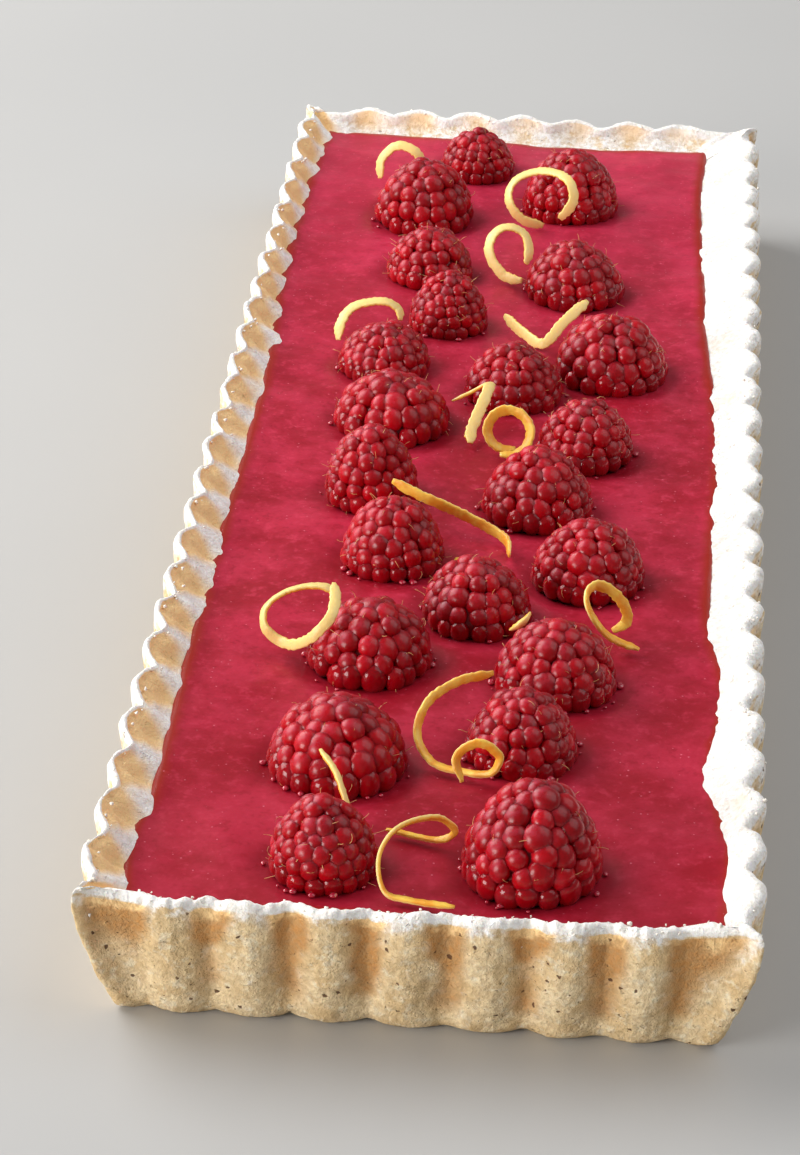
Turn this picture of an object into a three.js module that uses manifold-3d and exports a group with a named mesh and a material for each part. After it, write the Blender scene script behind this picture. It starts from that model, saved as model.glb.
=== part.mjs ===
import * as THREE from 'three';
import { mergeVertices } from 'three/addons/utils/BufferGeometryUtils.js';
import Module from 'manifold-3d';

const wasm = await Module();
wasm.setup();

// Millimetres. The tart lies along Y with its near end at -Y, and stands on z = 0.
const tartLength = 350;
const tartWidth = 108;
const tartHeight = 26;
const fittingGap = 0.4;

// The fluted shell leans out from its foot to its rim
const wallFlare = 5;
const footRounding = 1.6;
const fluteDepth = 2.5;
const fluteCorners = 4;
const endFlutes = 7;
const endFlutePitch = 12.4;
const endFirstGroove = -44.8;
const sideFlutes = 25;
const sideFlutePitch = 13.46;
const cornerFlutes = 3;
const cornerReach = 10;
const cornerBluntness = 0.5;
const rimDip = 0.9;
const rimCrumbling = 0.8;
const nearRimSag = 1.3;
const nearRimReach = 50;
const rimThickness = 3.3;
const shellFloor = 4.5;
const innerLean = 2;

// Wall thickness where the filling meets it, as pairs of place along the wall and thickness
const nearWall = [[-54, 8], [-36, 5], [36, 5], [54, 6.5]];
const farWall = [[-54, 7], [0, 10], [54, 9.5]];
const leftWall = [[-175, 8], [-150, 10], [0, 8], [150, 6], [175, 7]];
const rightWall = [
  [-175, 6.5], [-150, 6], [-119, 9.4], [-95, 7.3], [-62, 10.5], [5, 9], [79, 12.5], [145, 14], [175, 9.5],
];

// The raspberry curd
const fillingLevel = 21.5;
const fillingShoulder = 9;
const fillingWave = 0.3;
const fillingGap = 0.8;

// Raspberries: x, y, radius, height above the curd, lean of the tip in x and y
const berries = [
  [-16, -156.2, 8.9, 12.3, -0.5, 0.5],
  [16.7, -153.5, 11.3, 15.5, 0.5, 1],
  [-17.1, -124.1, 11.8, 11.3, 0, 1.5],
  [13.2, -116.9, 9.6, 11.2, 0, 1],
  [-15, -87.7, 11.1, 10.9, 0.5, 1],
  [17.8, -92.6, 10.7, 11.2, 0, 1.5],
  [2.8, -68.9, 9.9, 10.5, -0.5, 1],
  [21.9, -52.6, 10.4, 11.4, 0.5, 0.5],
  [-14.1, -49.2, 9.6, 12.1, 0, 1],
  [11.4, -25, 10.6, 11.5, 0, 1.5],
  [-20.2, -22.9, 9, 14, -0.5, 1],
  [19.3, 0.4, 9.6, 10.7, 0.5, 1],
  [-19.2, 9.8, 11.6, 10, 0, 1],
  [4.2, 25.7, 10, 10.4, -0.5, 1.5],
  [23.4, 39.1, 11.6, 12.2, 0, 1],
  [-23, 36.4, 9.5, 8.7, 0.5, 1],
  [-11.4, 59.5, 8.4, 11.2, 0, 1],
  [14.4, 80.1, 10.7, 10.8, -0.5, 1],
  [-17.3, 85.7, 9.4, 10, 0, 1.5],
  [-21, 117.9, 11.1, 13.1, 0.5, 1],
  [-10.9, 148.3, 8.6, 9.6, 0, 0.5],
  [11.4, 128.2, 10.8, 13.5, 0, 1],
];
const drupeletsRound = 8;
const drupeletSwell = 0.6;
const berryRows = [0.94, 0.8, 0.62, 0.44, 0.26, 0.08];
const berryBlunt = 0.62;
const berrySink = 3.5;
const berrySinkTaper = 0.82;

// Zest strands
const zestWidths = [1.1, 1, 1.5, 1.9, 1.9, 2, 2.2, 2, 2.2, 2.2, 2.2, 2.2, 2.2];
const zestThickness = 0.8;
const zestStep = 2.2;
const zestRest = fillingLevel + 1.3;

// Eases from one pair's value to the next
function between(pairs, place) {
  const last = pairs.length - 1;
  if (place <= pairs[0][0]) return pairs[0][1];
  if (place >= pairs[last][0]) return pairs[last][1];
  const next = pairs.findIndex((pair) => pair[0] > place);
  const [from, to] = [pairs[next - 1], pairs[next]];
  return from[1] + (to[1] - from[1]) * THREE.MathUtils.smoothstep(place, from[0], to[0]);
}

// A repeatable number from 0 to 1 for each counted place
function uneven(count, salt) {
  const value = Math.sin(count * 12.9898 + salt * 78.233) * 43758.5453;
  return value - Math.floor(value);
}

// Merges a closed geometry's shared vertices and drops the triangles that shrink to a line
function toSolid(geometry) {
  geometry.deleteAttribute('normal');
  geometry.deleteAttribute('uv');
  const merged = mergeVertices(geometry, 1e-4);
  const corners = merged.index.array;
  const kept = [];
  for (let i = 0; i < corners.length; i += 3) {
    const [a, b, c] = [corners[i], corners[i + 1], corners[i + 2]];
    if (a !== b && b !== c && c !== a) kept.push(a, b, c);
  }
  return new wasm.Manifold(new wasm.Mesh({
    numProp: 3,
    vertProperties: new Float32Array(merged.attributes.position.array),
    triVerts: new Uint32Array(kept),
  }));
}

function toGeometry(solid) {
  const mesh = solid.getMesh();
  const geometry = new THREE.BufferGeometry();
  geometry.setAttribute('position', new THREE.BufferAttribute(mesh.vertProperties, 3));
  geometry.setIndex(new THREE.BufferAttribute(mesh.triVerts, 1));
  geometry.computeVertexNormals();
  return geometry;
}

// Turns a profile into a closed ring of columns and moves every point to its place(column, row)
function shapedLathe(rows, columns, place) {
  const profile = Array.from({ length: rows }, (_, row) => new THREE.Vector2(row + 1, row));
  const geometry = new THREE.LatheGeometry(profile, columns);
  for (let column = 0; column <= columns; column += 1) {
    for (let row = 0; row < rows; row += 1) {
      const [x, y, z] = place(column % columns, row);
      geometry.attributes.position.setXYZ(column * rows + row, x, y, z);
    }
  }
  return toSolid(geometry);
}

// Columns of the fluted outline, anticlockwise from the near left corner
function outlineColumns() {
  const columns = [];
  const addWall = (wall, sign, first, pitch, flutes, direction, thickness) => {
    for (let step = 0; step <= flutes * fluteCorners; step += 1) {
      const count = direction > 0 ? step : flutes * fluteCorners - step;
      const phase = (count / fluteCorners) % 1;
      const depth = fluteDepth * (1 - 0.25 * uneven(Math.round(count / fluteCorners), sign + flutes));
      const drop = depth * (1 - Math.sin(Math.PI * phase));
      const at = first + count * pitch / fluteCorners;
      columns.push({ wall, sign, at, drop, thickness: between(thickness, at) });
    }
  };
  const addCorner = (signX, signY, fromEnd, thickness) => {
    for (let step = 1; step <= cornerFlutes; step += 1) {
      const share = fromEnd ? cornerFlutes + 1 - step : step;
      const angle = (Math.PI / 2) * share / (cornerFlutes + 1);
      const drop = fluteDepth * (1 - Math.sin(2 * angle));
      columns.push({ wall: 'corner', signX, signY, angle, drop, thickness });
    }
  };
  const sideFirst = -sideFlutes * sideFlutePitch / 2;
  const side = [sideFirst, sideFlutePitch, sideFlutes];
  const end = [endFirstGroove, endFlutePitch, endFlutes];
  addWall('end', -1, ...end, 1, nearWall);
  addCorner(1, -1, true, rightWall[0][1]);
  addWall('side', 1, ...side, 1, rightWall);
  addCorner(1, 1, false, farWall[2][1]);
  addWall('end', 1, ...end, -1, farWall);
  addCorner(-1, 1, true, farWall[0][1]);
  addWall('side', -1, ...side, -1, leftWall);
  addCorner(-1, -1, false, leftWall[0][1]);
  return columns;
}

// Slides a groove near a corner inwards as its wall moves in
function slide(at, half, inset) {
  return at - Math.sign(at) * inset * Math.exp(-(half - Math.abs(at)) / cornerReach);
}

// Where an outline column stands once its wall has moved in by the inset
function outlinePoint(column, inset, fluting) {
  const halfX = tartWidth / 2 - inset;
  const halfY = tartLength / 2 - inset;
  const drop = column.drop * fluting;
  if (column.wall === 'end') {
    return [slide(column.at, tartWidth / 2, inset), column.sign * (halfY - drop)];
  }
  if (column.wall === 'side') {
    return [column.sign * (halfX - drop), slide(column.at, tartLength / 2, inset)];
  }
  const endGroove = column.signX > 0 ? endFirstGroove + endFlutes * endFlutePitch : -endFirstGroove;
  const fromX = slide(endGroove, tartWidth / 2, inset);
  const fromY = slide(sideFlutes * sideFlutePitch / 2, tartLength / 2, inset);
  const reachX = Math.cos(column.angle) ** cornerBluntness;
  const reachY = Math.sin(column.angle) ** cornerBluntness;
  const x = fromX + (halfX - fromX) * reachX - drop * Math.cos(column.angle);
  const y = fromY + (halfY - fromY) * reachY - drop * Math.sin(column.angle);
  return [column.signX * x, column.signY * y];
}

const columns = outlineColumns();

// The rim stands high on the lobes, dips at the grooves, is crumbly all round and sags at the near end
function rimHeight(index) {
  const { wall, sign, at, drop } = columns[index];
  const dip = rimDip * drop / fluteDepth;
  const sag = wall === 'end' && sign < 0 ? nearRimSag * (1 - Math.abs(at / nearRimReach) ** 6) : 0;
  return tartHeight - dip - sag - rimCrumbling * uneven(index, 3);
}

function crustSolid() {
  const rows = [
    () => [0, 0, 0],
    (i, p) => [...outlinePoint(p, wallFlare + footRounding, 0.9), 0],
    (i, p) => [...outlinePoint(p, wallFlare, 1), footRounding],
    (i, p) => [...outlinePoint(p, 0, 1), rimHeight(i) - 1.8],
    (i, p) => [...outlinePoint(p, 0.8, 1), rimHeight(i)],
    (i, p) => [...outlinePoint(p, rimThickness, 0.8), rimHeight(i) - 0.7],
    (i, p) => [...outlinePoint(p, p.thickness, 0.25), fillingLevel - fillingWave],
    (i, p) => [...outlinePoint(p, p.thickness + innerLean, 0), shellFloor],
    () => [0, 0, shellFloor],
  ];
  return shapedLathe(rows.length, columns.length, (i, row) => rows[row](i, columns[i]));
}

function curdHeight(x, y) {
  return fillingLevel + fillingWave * Math.sin(x / 9) * Math.cos(y / 17);
}

// A round dimple for a berry to sit in
function pocketSolid([x, y, radius]) {
  const side = 2 * drupeletsRound;
  const rows = [
    [0, -berrySink - fittingGap],
    [radius * berrySinkTaper + fittingGap, -berrySink - fittingGap],
    [radius + fittingGap, 0],
    [radius + fittingGap, 2],
    [0, 2],
  ];
  return shapedLathe(rows.length, side, (i, row) => {
    const turn = 2 * Math.PI * i / side;
    const [reach, rise] = rows[row];
    return [x + reach * Math.cos(turn), y + reach * Math.sin(turn), fillingLevel + rise];
  });
}

// The curd meets the shell at every groove and turns each corner once
function fillingSolid() {
  const edge = columns.filter((p, i) => i % (p.wall === 'corner' ? 2 : fluteCorners) === 0);
  const top = (p, extra) => {
    const [x, y] = outlinePoint(p, p.thickness + fillingGap + extra, extra > 0 ? 0 : 0.25);
    return [x, y, curdHeight(x, y)];
  };
  const spine = (p) => {
    const last = slide(sideFlutes * sideFlutePitch / 2, tartLength / 2, 2 * fillingShoulder);
    const y = p.wall === 'side' ? slide(p.at, tartLength / 2, 2 * fillingShoulder)
      : last * (p.wall === 'end' ? p.sign : p.signY);
    return [0, y, curdHeight(0, y)];
  };
  const bottom = shellFloor + fittingGap;
  const rows = [
    () => [0, 0, bottom],
    (p) => [...outlinePoint(p, p.thickness + innerLean + fillingGap, 0), bottom],
    (p) => top(p, 0),
    (p) => top(p, fillingShoulder),
    (p) => spine(p),
  ];
  let solid = shapedLathe(rows.length, edge.length, (i, row) => rows[row](edge[i]));
  for (const berry of berries) solid = solid.subtract(pocketSolid(berry));
  return solid;
}

// A domed berry whose rows swell and sink by turns, like the drupelets round it
function berrySolid([x, y, radius, height, leanX, leanY], count) {
  const side = 2 * drupeletsRound;
  const lastRow = berryRows.length - 1;
  const dome = (share) => radius * (1 - share ** 2) ** berryBlunt;
  const rows = berryRows.length + 3;
  return shapedLathe(rows, side, (i, row) => {
    const turn = 2 * Math.PI * i / side;
    if (row === 0) return [x, y, fillingLevel - berrySink];
    if (row === rows - 1) return [x + leanX, y + leanY, fillingLevel + height];
    if (row === 1) {
      const foot = radius * berrySinkTaper;
      return [x + foot * Math.cos(turn), y + foot * Math.sin(turn), fillingLevel - berrySink];
    }
    const level = lastRow - (row - 2);
    const share = berryRows[level];
    const raised = (i + level) % 2 === 0 ? 1 : -0.6;
    const growth = 0.7 + 0.6 * uneven(i * 7 + level, count);
    const swell = level === lastRow ? 0 : drupeletSwell * raised * growth;
    const reach = dome(share) + swell;
    return [
      x + leanX * share + reach * Math.cos(turn),
      y + leanY * share + reach * Math.sin(turn),
      fillingLevel + height * share + swell * share,
    ];
  });
}

// A strand of peel with a flat section, swept along a smooth route
function zestStrand(route, width) {
  const curve = new THREE.CatmullRomCurve3(route.map((point) => new THREE.Vector3(...point)));
  const section = new THREE.Shape();
  const [halfWide, halfThick] = [width / 2, zestThickness / 2];
  section.moveTo(-halfThick, -halfWide);
  section.lineTo(halfThick, -halfWide);
  section.lineTo(halfThick, halfWide);
  section.lineTo(-halfThick, halfWide);
  const steps = Math.ceil(curve.getLength() / zestStep);
  return new THREE.ExtrudeGeometry(section, { steps, extrudePath: curve, bevelEnabled: false });
}

// The points of a curl that stands on its foot, leans back and drifts sideways as it turns
function curl({ foot, radius, from, sweep, facing = 0, lean = 20, drift = 2, rest = zestRest }) {
  const points = [];
  const turns = Math.ceil(sweep / 40);
  const [face, back] = [facing, lean].map(THREE.MathUtils.degToRad);
  for (let step = 0; step <= turns; step += 1) {
    const angle = THREE.MathUtils.degToRad(from + sweep * step / turns);
    const across = radius * Math.sin(angle);
    const up = radius * (1 - Math.cos(angle));
    const behind = up * Math.sin(back) + drift * step / turns;
    points.push([
      foot[0] + across * Math.cos(face) - behind * Math.sin(face),
      foot[1] + across * Math.sin(face) + behind * Math.cos(face),
      rest + up * Math.cos(back),
    ]);
  }
  return points;
}

// Strands that wander, by hand, and strands that curl into a ring, by rule
const zest = {
  zest_01: [
    [-7, -146.5, zestRest], [2, -149, zestRest + 0.3], [4.2, -149.4, 25], [1.8, -150.5, 28],
    [-4.8, -158.2, 30], [-6.9, -163, 27.5], [-5.5, -166, 23.3], [-1.8, -167, zestRest], [5.5, -168, zestRest],
  ],
  zest_02: [[-12, -146.8, zestRest], [-13.8, -144.9, 27], [-15.8, -141.5, 30], [-18.7, -137.3, 31.5]],
  zest_03: [
    [7.6, -107.5, 31], [1.4, -111.7, 31], [-3, -117.1, 29.5], [-4, -121.4, 26],
    [-1.2, -124.8, zestRest + 0.3], [4, -126.8, zestRest], [8.8, -128.6, 24], [10, -128.4, 27],
    [6.6, -128.6, 29.5], [3, -129.4, 27], [4.2, -131.2, 23.4],
  ],
  zest_04: [
    [-21.7, -84.2, 34], [-21.1, -87.8, 32.7], [-21.5, -91.8, 31.5], [-23.8, -93.2, 28.7], [-27.3, -90.8, 25],
    [-30.6, -88.2, 24], [-33.3, -87.4, 26], [-33.7, -85.7, 28.4], [-31.6, -82.8, 30], [-27.4, -80.7, 31],
    [-23.6, -80.2, 31], [-21.4, -80.7, 30],
  ],
  zest_05: [
    [27.1, -75.5, 23.2], [29.4, -74.6, 24.5], [29.3, -74.4, 27], [27.9, -74.8, 29.5], [26.3, -74.8, 31],
    [23.9, -75.2, 32], [22.4, -78, 32], [22.4, -80.2, 31], [23.8, -81.3, 28.5], [26, -80.6, 25.3],
    [28.4, -80, 23.5], [32, -81, zestRest],
  ],
  zest_06: [
    [-15.6, -33.4, 29.5], [-10, -35, 27.5], [-3.5, -36.4, 25.5], [2.3, -39, 24], [6.4, -42.5, 23.2],
    [7.4, -48, zestRest],
  ],
  zest_07: [
    [-7.4, 11.8, 25.6], [-4, 12.6, 27.2], [-0.3, 12.8, 29.3], [-0.8, 8.9, 28], [-2.1, 5.5, 25.4],
    [-3, 2.7, 23.6], [-2.9, -1.1, zestRest],
  ],
  zest_08: curl({ foot: [4.6, -6], radius: 4.2, from: -20, sweep: 400, lean: 35, drift: 3 }),
  zest_09: [[17.6, 56.5, 29.5], [13, 51.6, 26.5], [9.2, 48, zestRest + 0.3], [4.6, 53, 23], [0.4, 58, 24.5]],
  zest_10: [
    [-33.2, 44.2, zestRest + 0.1], [-32.8, 46.4, 26], [-30.9, 49.4, 28], [-27.3, 50.7, 29], [-23.6, 51.2, 29],
    [-21.2, 50.9, 27.5], [-20.8, 49.2, 26],
  ],
  zest_11: [
    [3, 80, 23.2], [-0.5, 81.7, 23.2], [-3.3, 83, 25.5], [-4.6, 84.5, 28.5], [-3.3, 87.2, 31.2],
    [-0.2, 88.5, 32], [2.9, 88.1, 30.5], [4, 85.8, 28], [3.6, 82.8, 26],
  ],
  zest_12: [
    [6, 112.7, zestRest], [1.3, 111.9, 24.5], [-1.8, 112.9, 28], [-1.4, 116.1, 31], [2.4, 118.3, 33],
    [7.3, 117, 34], [11.5, 112.3, 33.5], [12.4, 109.9, 30], [9.7, 109.4, 26],
  ],
  zest_13: [
    [-32.4, 136, zestRest], [-32.2, 137.5, 27], [-28.7, 138.4, 30], [-24.4, 137.4, 29], [-22.6, 137, 25],
    [-23, 136.4, zestRest],
  ],
};

const finish = (color, roughness) => new THREE.MeshStandardMaterial({ color, roughness, metalness: 0 });
const crustFinish = finish(0xe6d3ad, 0.9);
const curdFinish = finish(0xbe2b48, 0.45);
const berryFinish = finish(0xa3101c, 0.35);
const zestFinish = finish(0xe9b83c, 0.5);

function named(name, geometry, material) {
  const mesh = new THREE.Mesh(geometry, material);
  mesh.name = name;
  return mesh;
}

const numbered = (name, count) => `${name}_${String(count).padStart(2, '0')}`;

const tart = new THREE.Group();
tart.add(named('crust', toGeometry(crustSolid()), crustFinish));
tart.add(named('filling', toGeometry(fillingSolid()), curdFinish));
berries.forEach((berry, index) => {
  const solid = berrySolid(berry, index);
  tart.add(named(numbered('raspberry', index + 1), toGeometry(solid), berryFinish));
});
Object.entries(zest).forEach(([name, route], index) => {
  tart.add(named(name, toGeometry(toSolid(zestStrand(route, zestWidths[index]))), zestFinish));
});

export default tart;
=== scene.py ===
import math
import random

import bmesh
import bpy
from mathutils import Matrix, Vector, noise


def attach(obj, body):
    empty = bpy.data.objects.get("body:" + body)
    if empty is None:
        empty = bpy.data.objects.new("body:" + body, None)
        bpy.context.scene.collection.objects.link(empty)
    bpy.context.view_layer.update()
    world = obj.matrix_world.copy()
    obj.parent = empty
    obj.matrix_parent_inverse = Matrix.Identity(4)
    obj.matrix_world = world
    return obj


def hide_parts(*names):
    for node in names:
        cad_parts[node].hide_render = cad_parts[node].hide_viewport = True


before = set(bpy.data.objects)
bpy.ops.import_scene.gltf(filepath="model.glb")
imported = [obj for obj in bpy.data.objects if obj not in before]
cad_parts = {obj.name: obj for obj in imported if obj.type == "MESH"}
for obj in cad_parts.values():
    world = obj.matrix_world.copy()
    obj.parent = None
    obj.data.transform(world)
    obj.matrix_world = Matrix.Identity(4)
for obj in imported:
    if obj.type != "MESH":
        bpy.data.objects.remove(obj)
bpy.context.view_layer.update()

# Camera and studio: a long lens looks down over the near end, with a broad window light
# from the left and behind, weaker fills from the front left and above, and a pale table below.
camera_place = Vector((0.02845, -0.65263, 0.33393))
camera_forward = Vector((-0.0601, 0.88402, -0.46356))
camera_up = Vector((-0.06052, 0.46032, 0.88569))
camera_data = bpy.data.cameras.new("camera")
camera_data.lens = 115.35
camera_data.sensor_width = 36
camera_data.dof.use_dof = False
camera = bpy.data.objects.new("camera", camera_data)
camera_right = camera_forward.cross(camera_up).normalized()
camera_top = camera_right.cross(camera_forward).normalized()
camera_axes = Matrix((camera_right, camera_top, -camera_forward.normalized())).transposed()
camera.matrix_world = Matrix.Translation(camera_place) @ camera_axes.to_4x4()
bpy.context.scene.collection.objects.link(camera)
bpy.context.scene.camera = camera
bpy.context.scene.view_settings.view_transform = "Standard"

daylight = bpy.data.worlds.new("daylight")
daylight.use_nodes = True
daylight.node_tree.nodes["Background"].inputs["Color"].default_value = (0.95, 0.97, 1, 1)
daylight.node_tree.nodes["Background"].inputs["Strength"].default_value = 0.24
bpy.context.scene.world = daylight


def window(name, place, size, power, colour):
    data = bpy.data.lights.new(name, "AREA")
    data.shape = "RECTANGLE"
    data.size, data.size_y = size
    data.energy = power
    data.color = colour
    lamp = bpy.data.objects.new(name, data)
    lamp.location = place
    lamp.rotation_euler = (-Vector(place)).to_track_quat("-Z", "Y").to_euler()
    bpy.context.scene.collection.objects.link(lamp)


window("window_light", (-0.85, 0.4, 0.7), (1.1, 0.8), 16.5, (1, 0.99, 0.975))
window("front_fill", (-1.05, -0.85, 0.34), (0.7, 0.5), 14, (1, 0.98, 0.95))
window("sky_fill", (0.75, 0.1, 1.0), (1.2, 1.2), 7, (0.97, 0.98, 1))


def new_finish(name, numbers):
    """A material with its plain numbers set, and two makers: one adds nodes, one feeds the shader."""
    made = bpy.data.materials.new(name)
    made.use_nodes = True
    shader = made.node_tree.nodes["Principled BSDF"]
    for socket, value in numbers.items():
        shader.inputs[socket].default_value = value

    def add(kind, inputs=None, output=0, **options):
        node = made.node_tree.nodes.new("ShaderNode" + kind)
        for option, value in options.items():
            setattr(node, option, value)
        for socket, value in (inputs or {}).items():
            if isinstance(value, bpy.types.NodeSocket):
                made.node_tree.links.new(value, node.inputs[socket])
            else:
                node.inputs[socket].default_value = value
        return node.outputs[output]

    def feed(source, socket):
        made.node_tree.links.new(source, shader.inputs[socket])

    return made, add, feed


def mixed(add, share, low, high):
    return add("Mix", {0: share, 6: low, 7: high}, output=2, data_type="RGBA")


def eased(add, value, low, high, start=0.0, end=1.0):
    numbers = {"Value": value, "From Min": low, "From Max": high, "To Min": start, "To Max": end}
    return add("MapRange", numbers, interpolation_type="SMOOTHSTEP")


def times(add, first, second):
    return add("Math", {0: first, 1: second}, operation="MULTIPLY")


def plus(add, first, second):
    return add("Math", {0: first, 1: second}, operation="ADD")


def grain(add, scale, detail=2.0, rough=0.5):
    place = add("TexCoord", output=3)
    return add("TexNoise", {"Vector": place, "Scale": scale, "Detail": detail, "Roughness": rough})


table_bm = bmesh.new()
bmesh.ops.create_grid(table_bm, x_segments=1, y_segments=1, size=4)
table_mesh = bpy.data.meshes.new("table")
table_bm.to_mesh(table_mesh)
table_bm.free()
table = bpy.data.objects.new("table", table_mesh)
bpy.context.scene.collection.objects.link(table)
table_finish, add, feed = new_finish("pale_table", {"Roughness": 0.6})
feed(mixed(add, grain(add, 6), (0.46, 0.455, 0.445, 1), (0.51, 0.505, 0.495, 1)), "Base Color")
table_mesh.materials.append(table_finish)

# Shell: shortcrust pressed by hand into a fluted tin and baked. Its scalloped walls lean out, its rim is
# broken and crumbly, it is toasted just under the rim, and its grooves are darkened by toasting and by
# painted shade.
# Sizes are in millimetres until a finished piece is set out in metres.
tart_length = 350
tart_width = 108
tart_height = 26
# How far the walls lean out from foot to rim, and how much of that lean is near the foot
wall_flare = 5
wall_bulge = 1.6
foot_rounding = 1.6
flute_depth = 2.5
groove_unevenness = 0.25
# First groove, pitch and number of the flutes between the corner lobes
end_flutes = (-44.8, 12.4, 7)
side_flutes = (-168.25, 13.46, 25)
corner_reach = 10
corner_bluntness = 0.15
corner_softening = 0.08
rim_dip = 0.9
near_rim_sag = 1.3
near_rim_reach = 50
shell_floor = 4.5
inner_lean = 2
filling_level = 21.5
# Wall thickness where the curd meets it, as pairs of place along the wall and thickness
near_wall = [(-54, 8), (-36, 5), (36, 5), (54, 6.5)]
far_wall = [(-54, 7), (0, 10), (54, 9.5)]
left_wall = [(-175, 8), (-157, 6.6), (-140, 8.5), (-70, 7.8), (16, 8.3), (94, 5.6), (150, 6), (175, 7)]
right_wall = [
    (-175, 6.5), (-150, 6), (-119, 9.4), (-95, 7.3), (-62, 10.5), (5, 9), (79, 12.5), (145, 14), (175, 13),
]
# Columns of the mesh to each flute: finest at the near end
near_fine, side_fine, far_fine, corner_fine = 40, 18, 12, 24


def between(pairs, place):
    """Eases from one pair's value to the next."""
    if place <= pairs[0][0]:
        return pairs[0][1]
    for (start, low), (end, high) in zip(pairs, pairs[1:]):
        if place < end:
            share = (place - start) / (end - start)
            return low + (high - low) * share * share * (3 - 2 * share)
    return pairs[-1][1]


def uneven(count, salt):
    """A repeatable number from 0 to 1 for each counted place."""
    value = math.sin(count * 12.9898 + salt * 78.233) * 43758.5453
    return value - math.floor(value)


def smooth(value, low, high):
    share = min(max((value - low) / (high - low), 0), 1)
    return share * share * (3 - 2 * share)


def ripple(x, y, z, size):
    return noise.noise(Vector((x, y, z)) / size)


def soft_lobe(height):
    """A lobe whose foot is rounded, as soft dough leaves the sharp groove of the tin."""
    blunt = 0.06
    low, high = math.sqrt(blunt), math.sqrt(1 + blunt)
    return (math.sqrt(height * height + blunt) - low) / (high - low)


def wall_columns(wall, sign, flutes, direction, thickness, fine):
    """Columns along a wall: wall, side, place, how deep the flute lies back there, and thickness."""
    first, pitch, number = flutes
    columns = []
    for step in range(number * fine + 1):
        count = (step if direction > 0 else number * fine - step) / fine
        near, far = math.floor(count), math.ceil(count)
        depths = [1 - groove_unevenness * uneven(groove, sign + number) for groove in (near, far)]
        depth = flute_depth * (depths[0] + (depths[1] - depths[0]) * (count - near))
        drop = depth * (1 - soft_lobe(math.sin(math.pi * (count % 1))))
        at = first + count * pitch
        columns.append((wall, sign, at, drop, between(thickness, at)))
    return columns


def corner_columns(sign_x, sign_y, from_end, side_wall, end_wall):
    """Round a corner the wall eases from the side wall's thickness to the end wall's."""
    first, pitch, number = end_flutes
    side = between(side_wall, -sign_y * side_flutes[0])
    end = between(end_wall, first + number * pitch if sign_x > 0 else first)
    columns = []
    for step in range(1, corner_fine):
        share = corner_fine - step if from_end else step
        angle = math.pi / 2 * share / corner_fine
        drop = flute_depth * (1 - math.sin(2 * angle))
        thickness = side + (end - side) * smooth(angle, 0, math.pi / 2)
        columns.append(("corner", (sign_x, sign_y), angle, drop, thickness))
    return columns


def slide(at, half, inset):
    """A groove near a corner moves inwards with its wall."""
    return at - math.copysign(inset * math.exp(-(half - abs(at)) / corner_reach), at)


def outline_point(column, inset, fluting):
    """Where a column stands when it is moved in by the inset, with a share of its flute's depth."""
    wall, sign, at, drop, _ = column
    half_x = tart_width / 2 - inset
    half_y = tart_length / 2 - inset
    drop = drop * fluting
    if wall == "end":
        return slide(at, tart_width / 2, inset), sign * (half_y - drop)
    if wall == "side":
        return sign * (half_x - drop), slide(at, tart_length / 2, inset)
    first, pitch, number = end_flutes
    from_x = slide(first + number * pitch if sign[0] > 0 else -first, tart_width / 2, inset)
    from_y = slide(-side_flutes[0], tart_length / 2, inset)
    blunt = corner_bluntness + corner_softening * inset
    x = from_x + (half_x - from_x) * math.cos(at) ** blunt - drop * math.cos(at)
    y = from_y + (half_y - from_y) * math.sin(at) ** blunt - drop * math.sin(at)
    return sign[0] * x, sign[1] * y


outline = wall_columns("end", -1, end_flutes, 1, near_wall, near_fine)
outline += corner_columns(1, -1, True, right_wall, near_wall)
outline += wall_columns("side", 1, side_flutes, 1, right_wall, side_fine)
outline += corner_columns(1, 1, False, right_wall, far_wall)
outline += wall_columns("end", 1, end_flutes, -1, far_wall, far_fine)
outline += corner_columns(-1, 1, True, left_wall, far_wall)
outline += wall_columns("side", -1, side_flutes, -1, left_wall, side_fine)
outline += corner_columns(-1, -1, False, left_wall, near_wall)


def rim_height(column):
    """High on the lobes, dipping at the grooves, broken all round and sagging at the near end."""
    wall, sign, at, drop, _ = column
    x, y = outline_point(column, 0, 0)
    sag = near_rim_sag * (1 - abs(at / near_rim_reach) ** 6) if wall == "end" and sign < 0 else 0
    near = smooth(y, -160, -172)
    chipped = 0.8 * abs(ripple(x, y, 0, 9)) + (0.5 + 0.4 * near) * max(ripple(x, y, 9, 1.9), 0)
    chipped += 0.3 * near * abs(ripple(x, y, 20, 0.9))
    chipped += 0.9 * near * math.exp(-((x + 48) / 3.5) ** 2)
    return tart_height + 0.1 - rim_dip * drop / flute_depth - sag - chipped


rims = [rim_height(column) for column in outline]


def by_wall(column, left, right, ends):
    """Mixes a value for the left wall, the right wall and the two ends, easing round the corners."""
    x = outline_point(column, 0, 0)[0]
    to_left, to_right = smooth(-x, 44, 51.4), smooth(x, 44, 51.4)
    return left * to_left + right * to_right + ends * (1 - to_left - to_right)


def foot_row(inset, height, fluting):
    """Rows give inset, height, share of the fluting, toast with painted groove shade, white and crumbly for
    each column.
    """
    def row(column, rim):
        lifted = 0.4 * (column[3] / flute_depth) ** 2
        return inset, height + lifted, fluting, 0.1, 0, 0.1
    return row


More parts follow.
